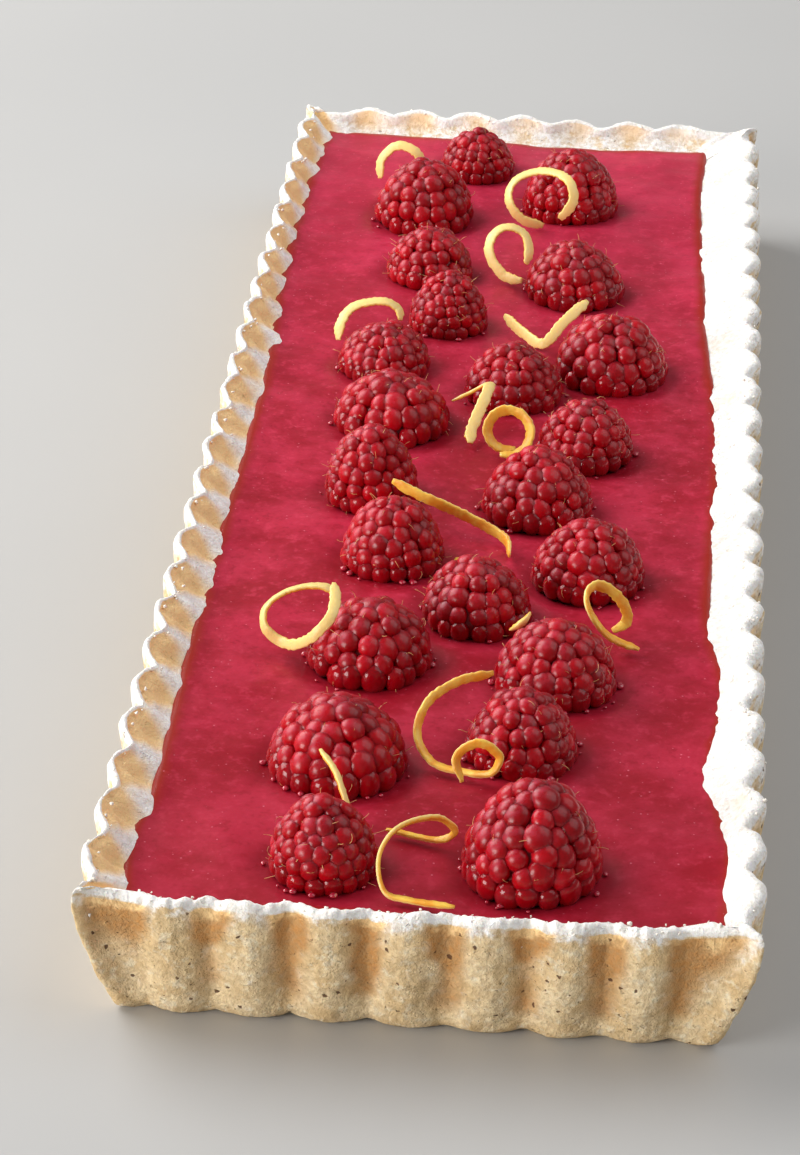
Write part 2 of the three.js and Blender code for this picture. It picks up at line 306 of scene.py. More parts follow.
def wall_row(share):
    def row(column, rim):
        top = rim - 1.5
        groove = column[3] / flute_depth
        height = foot_rounding + (top - foot_rounding) * share
        x, y = outline_point(column, 0, 0)
        patch = ripple(x, y, height, 8)
        under_rim = smooth(rim - height, 11 + 8 * patch, 1.5)
        # Toast under the rim; in the grooves the darkening is partly toasting and partly painted shade of
        # the groove.
        toast_and_shade = under_rim * (0.05 + groove) + 0.75 * groove * smooth(share, 0, 0.3) + 0.3 * patch
        toast_and_shade *= by_wall(column, 0.5, 0.4, 1)
        white = 0.55 * smooth(rim - height, 5, 1.2)
        white += by_wall(column, 0.2, 0.2, 0) * smooth(share, 0.2, 0.7)
        inset = wall_flare * (1 - share) ** wall_bulge
        return inset, height, 0.6 + 0.4 * smooth(share, 0, 0.3), toast_and_shade, white, 0.12
    return row


def rim_row(inset, fall, white):
    def row(column, rim):
        wide = inset * by_wall(column, 0.5, 1, 0.85)
        return wide, rim - fall, 1 - 0.06 * wide, 0.3 * (1 - white), white, 1
    return row


def inner_row(share):
    """The slope down to the curd: ridges and golden-brown scoops on the left, broad and pale on the right.
    """
    def row(column, rim):
        drop, thickness = column[3:]
        x, y = outline_point(column, 0, 0)
        start = rim_width * by_wall(column, 0.5, 1, 0.85)
        inner = thickness + slope_run + by_wall(column, 0.4, 0.8, 0.8) * ripple(x, y, 40, 13)
        inner += 0.4 * ripple(x, y, 40, 4)
        top, bottom = rim - 0.6, filling_level - 1
        height = top + (bottom - top) * share ** by_wall(column, 0.9, 0.95, 0.55)
        groove = max(drop / flute_depth, 0.001)
        ridge = groove ** by_wall(column, 1 - 0.6 * smooth(share, 0, 0.2), 1, 1)
        scoop = max(1 - ridge, 0)
        height -= by_wall(column, 1.1, 0.2, 0.4) * scoop * math.sin(math.pi * share) ** 2
        golden = by_wall(column, 0.9, 0.1, 0.3) * smooth(share, 0.75, 0.1)
        toast_and_shade = scoop ** 0.7 * (by_wall(column, 0.6, 0.1, 0.2) + golden)
        pale = by_wall(column, 0.95, 1, 0.6 + 0.4 * smooth(share, 0.14, 0.02))
        fluting = 0.04 + 0.9 * (1 - share ** by_wall(column, 1.2, 0.8, 0.5)) ** by_wall(column, 1, 1.3, 1.3)
        fluting *= ridge / groove
        return start + (inner - start) * share, height, fluting, toast_and_shade, pale, 0.3 * (1 - share)
    return row


def inside_row(lean, height):
    def row(column, rim):
        return column[4] + lean, height, 0.04, 0, 0.3, 0
    return row


rim_width = 3.2
slope_run = 1.8
wall_steps = 34
inner_steps = 10
shell_rows = [foot_row(5.9, 0.35, 0.55), foot_row(5.3, 0.9, 0.58)]
shell_rows += [wall_row(step / wall_steps) for step in range(wall_steps + 1)]
shell_rows += [
    rim_row(0.15, 1.1, 0.5), rim_row(0.35, 0.7, 0.9), rim_row(0.75, 0.3, 1), rim_row(1.3, 0.05, 1),
    rim_row(2, 0, 1), rim_row(2.8, 0.2, 1),
]
shell_rows += [inner_row(step / inner_steps) for step in range(inner_steps + 1)]
shell_rows += [inside_row(2, 18), inside_row(inner_lean + 1, shell_floor)]

shell_bm = bmesh.new()
toast_and_shade_layer = shell_bm.verts.layers.float.new("toast_and_shade")
white_layer = shell_bm.verts.layers.float.new("white")
crumbly_layer = shell_bm.verts.layers.float.new("crumbly")
ring = list(bmesh.ops.create_circle(shell_bm, segments=len(outline), radius=1)["verts"])


def lay_ring(verts, row):
    for vert, column, rim in zip(verts, outline, rims):
        inset, height, fluting, toast_and_shade, white, crumbly = row(column, rim)
        vert.co = (*outline_point(column, inset, fluting), height)
        vert[toast_and_shade_layer] = toast_and_shade
        vert[white_layer] = white
        vert[crumbly_layer] = crumbly


def next_ring(bm, verts):
    """Extrudes the open ring of edges and gives its new vertices in the same order."""
    edges = [bm.edges.get((a, b)) for a, b in zip(verts, verts[1:] + verts[:1])]
    made = bmesh.ops.extrude_edge_only(bm, edges=edges)["geom"]
    fresh = {part for part in made if isinstance(part, bmesh.types.BMVert)}
    return [next(e.other_vert(v) for e in v.link_edges if e.other_vert(v) in fresh) for v in verts]


def close_on_spine(bm, verts, reach, height):
    """Draws the open ring in to a line along the middle, where its two sides are merged later."""
    for vert in next_ring(bm, verts):
        vert.co = (0, min(max(vert.co.y, -reach), reach), height)


foot = foot_row(wall_flare + foot_rounding, 0, 0.5)
lay_ring(ring, foot)
first_ring = ring
for row in shell_rows:
    ring = next_ring(shell_bm, ring)
    lay_ring(ring, row)
spine_reach = 150
close_on_spine(shell_bm, ring, spine_reach, shell_floor)
close_on_spine(shell_bm, first_ring, spine_reach, 0.3)
bmesh.ops.remove_doubles(shell_bm, verts=shell_bm.verts, dist=1e-4)
bmesh.ops.recalc_face_normals(shell_bm, faces=shell_bm.faces)
shell_bm.normal_update()
# Relief: grit, small lumps, broad lumps and torn pits, on all but the floor and the underside
for vert in shell_bm.verts:
    x, y, z = vert.co
    if z < 0.3 or math.hypot(vert.normal.x, vert.normal.y) + vert[white_layer] < 0.3:
        continue
    crumbly = vert[crumbly_layer]
    grit = 1.4 if y < -164 else 2.2
    relief = (0.13 + 0.2 * crumbly) * ripple(x, y, z, grit) + 0.22 * ripple(x, y, z, 2.9)
    relief += 0.28 * ripple(x, y, z, 8) - (0.5 + 0.6 * crumbly) * max(ripple(x, y, z + 60, 1.5) - 0.36, 0)
    vert.co = vert.co + vert.normal * (relief - 0.1)
    vert.co.z = max(vert.co.z, 0)


def set_out(bm, name, material):
    """Turns a shaped mesh from millimetres to metres and makes it a smooth piece."""
    bmesh.ops.scale(bm, vec=(0.001, 0.001, 0.001), verts=bm.verts)
    mesh = bpy.data.meshes.new(name)
    bm.to_mesh(mesh)
    bm.free()
    mesh.shade_smooth()
    mesh.materials.append(material)
    piece = bpy.data.objects.new(name, mesh)
    bpy.context.scene.collection.objects.link(piece)
    return piece


crust_finish, add, feed = new_finish("baked_shortcrust", {
    "Roughness": 0.85, "Specular IOR Level": 0.25, "Subsurface Weight": 0.08,
    "Subsurface Radius": (0.002, 0.0012, 0.0006), "Subsurface Scale": 1.0,
})
toast_and_shade = add("Attribute", attribute_name="toast_and_shade", output=2)
white = add("Attribute", attribute_name="white", output=2)
mottle = grain(add, 210, 3)
crumb = grain(add, 900, 4, 0.65)
patch = grain(add, 110, 2)
place = add("TexCoord", output=3)
wander = add("TexNoise", {"Vector": place, "Scale": 1500.0, "Detail": 1.0}, output=1)
bent = add("VectorMath", {0: wander, 1: (0.0009, 0.0009, 0.0009), 2: place}, operation="MULTIPLY_ADD")
dough = mixed(add, eased(add, mottle, 0.35, 0.65), (0.8, 0.58, 0.31, 1), (0.93, 0.74, 0.46, 1))
dough = mixed(add, eased(add, grain(add, 520, 4, 0.6), 0.52, 0.66, 0, 0.75), dough, (0.93, 0.82, 0.6, 1))
# Browning from the toast attribute, which also carries painted shade in the grooves.
browned_and_shaded = eased(add, plus(add, toast_and_shade, times(add, plus(add, patch, -0.5), 0.9)), 0.15, 0.95)
dough = mixed(add, times(add, browned_and_shaded, 0.9), dough, (0.56, 0.25, 0.065, 1))
floury = mixed(add, eased(add, crumb, 0.3, 0.6), (0.84, 0.79, 0.72, 1), (0.97, 0.95, 0.92, 1))
# Golden toast on the pale crumb, including painted groove shade wherever the grooves reach it.
golden_toast_and_shade = eased(add, plus(add, toast_and_shade, times(add, plus(add, patch, -0.5), 0.8)), 0.1, 0.8)
floury = mixed(add, times(add, golden_toast_and_shade, 0.95), floury, (0.98, 0.65, 0.29, 1))
torn = plus(add, times(add, plus(add, mottle, -0.5), 1.5), times(add, plus(add, crumb, -0.5), 0.6))
broken_edge = eased(add, plus(add, white, torn), 0.25, 0.7)
crust_tone = mixed(add, broken_edge, dough, floury)
on_dough = eased(add, white, 0.9, 0.4, 0.1, 1)
# Painted shade: the dough darkens where the crumb noise is low, in the hollows of the bump.
hollow_shade = times(add, eased(add, crumb, 0.6, 0.4, 0, 0.4), on_dough)
crust_tone = mixed(add, hollow_shade, crust_tone, (0.5, 0.33, 0.16, 1))


def specks(scale, rarity, reach):
    """Dark bits of uneven size scattered through the dough: where they are, and a number for each."""
    cells = {"Vector": bent, "Scale": scale}
    kind = add("SeparateColor", {0: add("TexVoronoi", cells, output=1)})
    size = eased(add, kind, rarity, 1, -0.06, reach)
    return eased(add, plus(add, add("TexVoronoi", cells), times(add, size, -1)), 0.03, -0.02), kind


bran, bran_kind = specks(520.0, 0.4, 0.2)
dust = specks(1150.0, 0.55, 0.17)[0]
flat_place = add("VectorMath", {0: bent, 1: (1.0, 1.0, 2.0)}, operation="MULTIPLY")
seam = add("TexVoronoi", {"Vector": flat_place, "Scale": 230.0}, feature="DISTANCE_TO_EDGE")
crack = times(add, eased(add, seam, 0.02, 0.003), eased(add, grain(add, 150, 3), 0.6, 0.66))
pore = add("TexNoise", {"Vector": flat_place, "Scale": 620.0, "Detail": 2.0})
pore = eased(add, pore, 0.66, 0.8)
# Painted shade in pits and cracks: the pores and cracks that the bump dents in are darkened as well.
crust_tone = mixed(add, times(add, pore, times(add, on_dough, 0.3)), crust_tone, (0.45, 0.27, 0.12, 1))
crust_tone = mixed(add, times(add, crack, times(add, on_dough, 0.15)), crust_tone, (0.4, 0.23, 0.1, 1))
crust_tone = mixed(add, times(add, dust, times(add, on_dough, 0.7)), crust_tone, (0.2, 0.09, 0.04, 1))
bran_tone = mixed(add, eased(add, bran_kind, 0.4, 1), (0.32, 0.12, 0.045, 1), (0.1, 0.04, 0.02, 1))
crust_tone = mixed(add, times(add, bran, times(add, on_dough, 0.9)), crust_tone, bran_tone)
feed(crust_tone, "Base Color")
crust_height = plus(add, times(add, crumb, 0.7), times(add, grain(add, 2400, 2), 0.3))
crust_height = plus(add, crust_height, times(add, bran, -0.4))
crust_height = plus(add, crust_height, times(add, plus(add, pore, times(add, crack, 0.4)), -0.6))
feed(add("Bump", {"Height": crust_height, "Strength": 0.8, "Distance": 0.0008}), "Normal")

shell = set_out(shell_bm, "shortcrust_shell", crust_finish)
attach(shell, "root")
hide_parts("crust")

# Filling: a set raspberry curd, poured warm into the shell. Its top is satin smooth with slight waves,
# it climbs a little where it meets the shell, and it dips round each berry pressed into it.
# Each berry: x, y, radius, height above the curd, and lean of its tip in x and y
berries = [
    (-16, -156.2, 8.9, 12.3, -0.5, 0.5), (16.7, -153.5, 11.3, 15.5, 0.5, 1),
    (-17.1, -124.1, 11.8, 11.3, 0, 1.5), (13.2, -116.9, 9.6, 11.2, 0, 1),
    (-15, -87.7, 11.1, 10.9, 0.5, 1), (17.8, -92.6, 10.7, 11.2, 0, 1.5),
    (2.8, -68.9, 9.9, 10.5, -0.5, 1), (21.9, -52.6, 10.4, 11.4, 0.5, 0.5),
    (-14.1, -49.2, 9.6, 12.1, 0, 1), (11.4, -25, 10.6, 11.5, 0, 1.5),
    (-20.2, -22.9, 9, 14, -0.5, 1), (19.3, 0.4, 9.6, 10.7, 0.5, 1),
    (-19.2, 9.8, 11.6, 10, 0, 1), (4.2, 25.7, 10, 10.4, -0.5, 1.5),
    (23.4, 39.1, 11.6, 12.2, 0, 1), (-23, 36.4, 9.5, 8.7, 0.5, 1),
    (-11.4, 59.5, 8.4, 11.2, 0, 1), (14.4, 80.1, 10.7, 10.8, -0.5, 1),
    (-17.3, 85.7, 9.4, 10, 0, 1.5), (-21, 117.9, 11.1, 13.1, 0.5, 1),
    (-10.9, 148.3, 8.6, 9.6, 0, 0.5), (11.4, 128.2, 10.8, 13.5, 0, 1),
]
berry_sink = 3.5
curd_bottom = 4.9
curd_cells = (112, 356)
# How far the curd runs on into the walls, and how its hidden skirt narrows below
edge_bite = 1.6
left_bite = 2.4
skirt_taper = (0.93, 0.98)


def curd_height(x, y):
    height = filling_level + 0.3 * math.sin(x / 9) * math.cos(y / 17)
    return height + 0.5 * ripple(x, y, 3, 15) + 0.22 * ripple(x, y, 8, 7)


def berry_reach(x, y):
    """How far a place is from the side of the nearest berry, and that berry's radius."""
    return min((math.hypot(x - b[0], y - b[1]) - b[2], b[2]) for b in berries)


curd_bm = bmesh.new()
shade_layer = curd_bm.verts.layers.float.new("berry_shade")
edge_layer = curd_bm.verts.layers.float.new("edge")
bmesh.ops.create_grid(curd_bm, x_segments=curd_cells[0], y_segments=curd_cells[1], size=1)
for vert in curd_bm.verts:
    across, along = vert.co.x, vert.co.y
    y = along * tart_length / 2
    right = tart_width / 2 - between(right_wall, y)
    left = between(left_wall, y) - tart_width / 2
    x = left - left_bite + (right + edge_bite - left + left_bite) * (across + 1) / 2
    near = between(near_wall, x) - tart_length / 2
    far = tart_length / 2 - between(far_wall, x)
    y = near - edge_bite + (far - near + 2 * edge_bite) * (along + 1) / 2
    border = min(right - x, x - left, y - near, far - y)
    gap, radius = berry_reach(x, y)
    z = curd_height(x, y) + 0.1 * smooth(border, 3, 0) - 1.4 * smooth(border, -0.5, -1.6)
    z -= 0.4 * math.exp(-max(gap, 0) ** 2 / 5) + 0.3 * math.exp(-max(gap, 0) / 6)
    z -= (berry_sink - 0.2) * smooth(gap, -0.13 * radius, -0.3 * radius)
    vert.co = (x, y, z)
    # Painted shade round the foot of each berry, used in the curd's colour.
    vert[shade_layer] = math.exp(-max(gap, 0) ** 2 / 6)
    # Band along the shell where the curd thins and takes painted shade of the wall.
    vert[edge_layer] = smooth(border, 1.5 + 0.8 * ripple(x, y, 5, 4), 0.2)
rim_edges = [edge for edge in curd_bm.edges if edge.is_boundary]
skirt = bmesh.ops.extrude_edge_only(curd_bm, edges=rim_edges)["geom"]
skirt_verts = [part for part in skirt if isinstance(part, bmesh.types.BMVert)]
skirt_edges = [part for part in skirt if isinstance(part, bmesh.types.BMEdge) and part.is_boundary]
for vert in skirt_verts:
    vert.co = (vert.co.x * skirt_taper[0], vert.co.y * skirt_taper[1], curd_bottom)
bmesh.ops.edgeloop_fill(curd_bm, edges=skirt_edges)
bmesh.ops.recalc_face_normals(curd_bm, faces=curd_bm.faces)

curd_finish, add, feed = new_finish("raspberry_curd", {
    "Specular IOR Level": 0.2, "Subsurface Weight": 0.12,
    "Subsurface Radius": (0.004, 0.0012, 0.0012), "Subsurface Scale": 1.0,
})
berry_shade = add("Attribute", attribute_name="berry_shade", output=2)
edge = add("Attribute", attribute_name="edge", output=2)
cloud = grain(add, 60, 4, 0.6)
curd_tone = mixed(add, eased(add, cloud, 0.35, 0.65), (0.33, 0.007, 0.02, 1), (0.5, 0.021, 0.056, 1))
pulp = plus(add, times(add, grain(add, 380, 3), 0.6), times(add, grain(add, 1300, 2), 0.4))
curd_tone = mixed(add, eased(add, pulp, 0.51, 0.68, 0, 0.5), curd_tone, (0.64, 0.045, 0.095, 1))
curd_tone = mixed(add, eased(add, pulp, 0.49, 0.34, 0, 0.5), curd_tone, (0.27, 0.004, 0.014, 1))
# Painted light along the tart: darker towards the near end as painted shade, pinker towards the far end as
# a painted reflection of the window.
along = add("SeparateXYZ", {0: add("TexCoord", output=3)}, output=1)
curd_tone = mixed(add, eased(add, along, -0.02, -0.19, 0, 0.4), curd_tone, (0.28, 0.006, 0.014, 1))
curd_tone = mixed(add, eased(add, along, 0, 0.17, 0, 0.3), curd_tone, (0.66, 0.04, 0.12, 1))
# Painted shade: the curd darkens round the feet of the berries.
curd_tone = mixed(add, times(add, berry_shade, 0.5), curd_tone, (0.27, 0.003, 0.01, 1))
# Along the shell the curd turns orange-red where it thins, and it is darkened as painted shade of the wall.
curd_tone = mixed(add, times(add, edge, 0.9), curd_tone, (0.34, 0.016, 0.004, 1))
seed_cells = {"Vector": add("TexCoord", output=3), "Scale": 800.0}
fleck_kind = add("SeparateColor", {0: add("TexVoronoi", seed_cells, output=1)})
fleck_reach = eased(add, fleck_kind, 0.3, 1, 0, 0.15)
fleck = eased(add, plus(add, add("TexVoronoi", seed_cells), times(add, fleck_reach, -1)), 0.02, -0.04)
curd_tone = mixed(add, times(add, fleck, 0.45), curd_tone, (0.8, 0.22, 0.3, 1))
feed(curd_tone, "Base Color")
feed(eased(add, grain(add, 160, 3), 0.2, 0.8, 0.34, 0.48), "Roughness")
curd_bump = plus(add, times(add, grain(add, 260, 3), 0.6), times(add, fleck, 0.3))
curd_bump = plus(add, curd_bump, times(add, pulp, 0.35))
feed(add("Bump", {"Height": curd_bump, "Strength": 0.3, "Distance": 0.0004}), "Normal")

curd = set_out(curd_bm, "raspberry_curd", curd_finish)
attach(curd, "root")
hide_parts("filling")

# Raspberries: fresh ones, set tip up by hand in a loose double row. Each is a dome of rounded
# drupelets in staggered rows about a core, dull with dusty bloom that is lighter as a painted highlight on
# the side facing the window, and wet with juice at the foot.
# Sizes as shares of the berry's radius or of a drupelet's width
drupelet_share = 0.345
drupelet_sink = 0.39
row_closeness = 0.84
berry_blunt = 0.62
foot_taper = 0.82
# Direction of the window light: drupelets facing it get a lighter, duller dusty pink as a painted
# highlight.
lit_side = Vector((-0.55, -0.15, 0.82))

berry_finish, add, feed = new_finish("raspberry_skin", {
    "Specular IOR Level": 0.3, "Subsurface Weight": 0.5, "Subsurface Radius": (0.003, 0.0004, 0.0004),
    "Subsurface Scale": 1.0, "Sheen Weight": 0.05, "Sheen Roughness": 0.35, "Sheen Tint": (1, 0.55, 0.7, 1),
})
wet = add("Attribute", attribute_name="wet", output=2)
bloom_highlight = add("Attribute", attribute_name="bloom_highlight", output=2)
ripe = add("Attribute", attribute_name="ripe", output=2)
skin_tone = mixed(add, ripe, (0.26, 0.0005, 0.003, 1), (0.45, 0.001, 0.006, 1))
# Painted highlights: lighter pink spots laid by noise.
skin_tone = mixed(add, eased(add, grain(add, 420, 3), 0.45, 0.8, 0, 0.2), skin_tone, (0.55, 0.06, 0.09, 1))
# Painted highlight: dusty bloom pink, lighter and duller, on the drupelet sides that face the window.
dusty_highlight = times(add, bloom_highlight, eased(add, grain(add, 700, 3), 0.35, 0.65, 0.05, 0.35))
skin_tone = mixed(add, dusty_highlight, skin_tone, (0.64, 0.09, 0.17, 1))
skin_tone = mixed(add, times(add, wet, 0.4), skin_tone, (0.18, 0.001, 0.005, 1))
feed(skin_tone, "Base Color")
feed(plus(add, eased(add, wet, 0, 1, 0.24, 0.12), times(add, dusty_highlight, 0.5)), "Roughness")
feed(add("Bump", {"Height": grain(add, 1500, 3), "Strength": 0.15, "Distance": 0.0002}), "Normal")


def berry_profile(radius, height, share):
    """Reach and height of the berry's dome at a share of its height above the curd."""
    if share < 0:
        return radius * (1 + share * (1 - foot_taper)), berry_sink * share
    return radius * (1 - share * share) ** berry_blunt, height * share


def drupelet_places(radius, height, draw):
    """Staggered rows of drupelets: place, outward direction and size of each."""
    steps = [berry_profile(radius, height, step / 200) for step in range(-20, 201)]
    lengths = [0.0]
    for (r0, z0), (r1, z1) in zip(steps, steps[1:]):
        lengths.append(lengths[-1] + math.hypot(r1 - r0, z1 - z0))
    width = drupelet_share * radius
    rows = round((lengths[-1] - width * 0.5) / (width * row_closeness))
    places = []
    for row in range(rows + 1):
        wanted = width * 0.38 + (lengths[-1] - width * 0.38) * row / rows
        index = min(range(len(steps)), key=lambda i: abs(lengths[i] - wanted))
        reach, rise = steps[index]
        before, after = steps[max(index - 2, 0)], steps[min(index + 2, len(steps) - 1)]
        slope = Vector((after[1] - before[1], before[0] - after[0])).normalized()
        number = max(round(2 * math.pi * (reach - slope.x * width * drupelet_sink) / (width * 0.86)), 1)
        if row == rows:
            number, slope = 1, Vector((0, 1))
        turned = draw.random()
        for count in range(number):
            angle = 2 * math.pi * (count + 0.5 * (row % 2) + turned + draw.uniform(-0.18, 0.18)) / number
            outward = Vector((slope.x * math.cos(angle), slope.x * math.sin(angle), slope.y))
            lifted = rise + draw.uniform(-0.14, 0.14) * width
            place = Vector((reach * math.cos(angle), reach * math.sin(angle), lifted))
            places.append((place, outward.normalized(), width * draw.uniform(0.86, 1.14)))
    return places


hair_starts = []
for index, (x, y, radius, height, lean_x, lean_y) in enumerate(berries):
    name = f"raspberry_{index + 1:02d}"
    draw = random.Random(100 + index)
    ground = Vector((x, y, filling_level))
    berry_bm = bmesh.new()
    wet_layer = berry_bm.verts.layers.float.new("wet")
    ripe_layer = berry_bm.verts.layers.float.new("ripe")
    bloom_highlight_layer = berry_bm.verts.layers.float.new("bloom_highlight")
    core = bmesh.ops.create_uvsphere(berry_bm, u_segments=24, v_segments=16, radius=1)["verts"]
    for vert in core:
        share = vert.co.z
        reach, rise = berry_profile(radius * 0.85, height - 0.18 * radius, share)
        spread = reach / max(math.hypot(vert.co.x, vert.co.y), 1e-6)
        if abs(share) > 0.999:
            spread = 0
        lean = Vector((lean_x, lean_y, 0)) * max(share, 0)
        vert.co = ground + lean + Vector((vert.co.x * spread, vert.co.y * spread, rise))
        vert[wet_layer] = smooth(share, 0.35, 0)
    for place, outward, width in drupelet_places(radius, height, draw):
        lean = Vector((lean_x, lean_y, 0)) * max(place.z / height, 0)
        sunk = ground + lean + place - outward * width * drupelet_sink
        upright = outward.to_track_quat("Z", "Y").to_matrix().to_4x4()
        wide = 0.59 * width * draw.uniform(0.92, 1.05)
        long = 0.62 * width * draw.uniform(0.95, 1.1)
        shape = Matrix.Translation(sunk) @ upright @ Matrix.Diagonal((wide, long, 0.43 * width, 1))
        made = bmesh.ops.create_icosphere(berry_bm, subdivisions=2, radius=1, matrix=shape)["verts"]
        damp = smooth(place.z + draw.uniform(-1, 1), 3.2, 0.4)
        # Dry drupelets that face the window get the painted highlight.
        dry_lit = (1 - damp) * smooth(outward.dot(lit_side), 0.1, 0.95)
        redness = draw.random()
        for vert in made:
            vert[wet_layer] = damp
            vert[ripe_layer] = redness
            facing = (vert.co - sunk).normalized().dot(lit_side)
            vert[bloom_highlight_layer] = dry_lit * smooth(facing, 0.4, 1)
        hair_starts.append((sunk + outward * width * 0.42, outward, width))
    berry = set_out(berry_bm, name + "_fruit", berry_finish)
    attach(berry, "root")
    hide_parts(name)

# Hairs on the berries: the dried styles of the flower, straw coloured, one or two between drupelets.
# Each is a bent three-sided thread that grows out of the skin and curls over.
hair_radius = 0.07
hair_steps = 4
hair_share = 0.42
hairless_above = 35.5


def sweep(bm, stations, section):
    """Carries a closed section along stations of (place, side, other side, scale) and caps both ends."""
    count = len(section)
    loop = list(bmesh.ops.create_circle(bm, segments=count, radius=1)["verts"])
    start = loop
    loops = []
    for step, (place, side, other, scale) in enumerate(stations):
        if step:
            loop = next_ring(bm, loop)
        for vert, (a, b) in zip(loop, section):
            vert.co = place + side * a * scale + other * b * scale
        loops.append(loop)
    bmesh.ops.contextual_create(bm, geom=start)
    bmesh.ops.contextual_create(bm, geom=loop)
    return loops


hair_draw = random.Random(7)
hair_bm = bmesh.new()
triangle = [(math.cos(a), math.sin(a)) for a in (0, 2 * math.pi / 3, 4 * math.pi / 3)]
for place, outward, width in hair_starts:
    if hair_draw.random() > hair_share or place.z > hairless_above:
        continue
    length = hair_draw.uniform(1.2, 2.6)
    across = outward.orthogonal().normalized()
    turn = Matrix.Rotation(hair_draw.uniform(0, 2 * math.pi), 3, outward)
    across = turn @ across
    start = place + across * width * 0.3 - outward * width * 0.2
    heading = (outward * hair_draw.uniform(0.5, 1.3) + across * hair_draw.uniform(0.4, 1)).normalized()
    bend = Matrix.Rotation(hair_draw.uniform(-0.75, 0.75), 3, outward.cross(across))
    stations = []
    at = start
    for step in range(hair_steps + 1):
        side = heading.orthogonal().normalized()
        thin = hair_radius * (1 - 0.5 * step / hair_steps)
        stations.append((at, side, heading.cross(side).normalized(), thin))
        heading = (bend @ heading).normalized()
        at = at + heading * length / hair_steps
    sweep(hair_bm, stations, triangle)
bmesh.ops.recalc_face_normals(hair_bm, faces=hair_bm.faces)
hair_finish, add, feed = new_finish("dried_styles", {"Roughness": 0.5, "Subsurface Weight": 0.0})
feed(mixed(add, grain(add, 500), (0.55, 0.22, 0.06, 1), (0.9, 0.55, 0.24, 1)), "Base Color")
hairs = set_out(hair_bm, "berry_hairs", hair_finish)
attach(hairs, "root")

# Juice: small beads that have run out of the berries and stand on the curd at their feet.
juice_draw = random.Random(19)
juice_bm = bmesh.new()
near_berries, near_beads, far_beads = 6, 14, 6
for index, (x, y, radius, *_) in enumerate(berries):
    for count in range(near_beads if index < near_berries else far_beads):
        angle = juice_draw.uniform(0, 2 * math.pi)
        size = juice_draw.uniform(0.25, 0.75)
        reach = radius + juice_draw.uniform(-0.2, 0.9)
        px, py = x + reach * math.cos(angle), y + reach * math.sin(angle)
        shape = Matrix.Translation((px, py, curd_height(px, py) - 0.45 + size * 0.3))
        shape = shape @ Matrix.Diagonal((size, size * juice_draw.uniform(0.8, 1.3), size * 0.6, 1))
        bmesh.ops.create_icosphere(juice_bm, subdivisions=2, radius=1, matrix=shape)
juice_finish, add, feed = new_finish("berry_juice", {
    "Roughness": 0.06, "Coat Weight": 1.0, "Coat Roughness": 0.02, "IOR": 1.4,
})
feed(mixed(add, grain(add, 300), (0.4, 0.01, 0.03, 1), (0.52, 0.02, 0.05, 1)), "Base Color")
juice = set_out(juice_bm, "berry_juice", juice_finish)
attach(juice, "root")

# Zest: long strands of orange peel cut with a zester, yellow outside with cream pith inside.
# They lie and curl over the berries, each with a flat section and finely notched edges.
zest_thickness = 0.7
zest_step = 0.5
zest_notch = 0.07
# Height of the middle of a strand that lies on the curd
rest = filling_level + 1.3


def curl(foot, radius, start, turned, lean, drift):
    """The points of a curl that stands on its foot, leans back and drifts backwards as it turns."""
    points = []
    steps = math.ceil(turned / 40)
    back = math.radians(lean)
    for step in range(steps + 1):
        angle = math.radians(start + turned * step / steps)
        across = radius * math.sin(angle)
        up = radius * (1 - math.cos(angle))
        behind = up * math.sin(back) + drift * step / steps
        points.append((foot[0] + across, foot[1] + behind, rest + up * math.cos(back)))
    return points


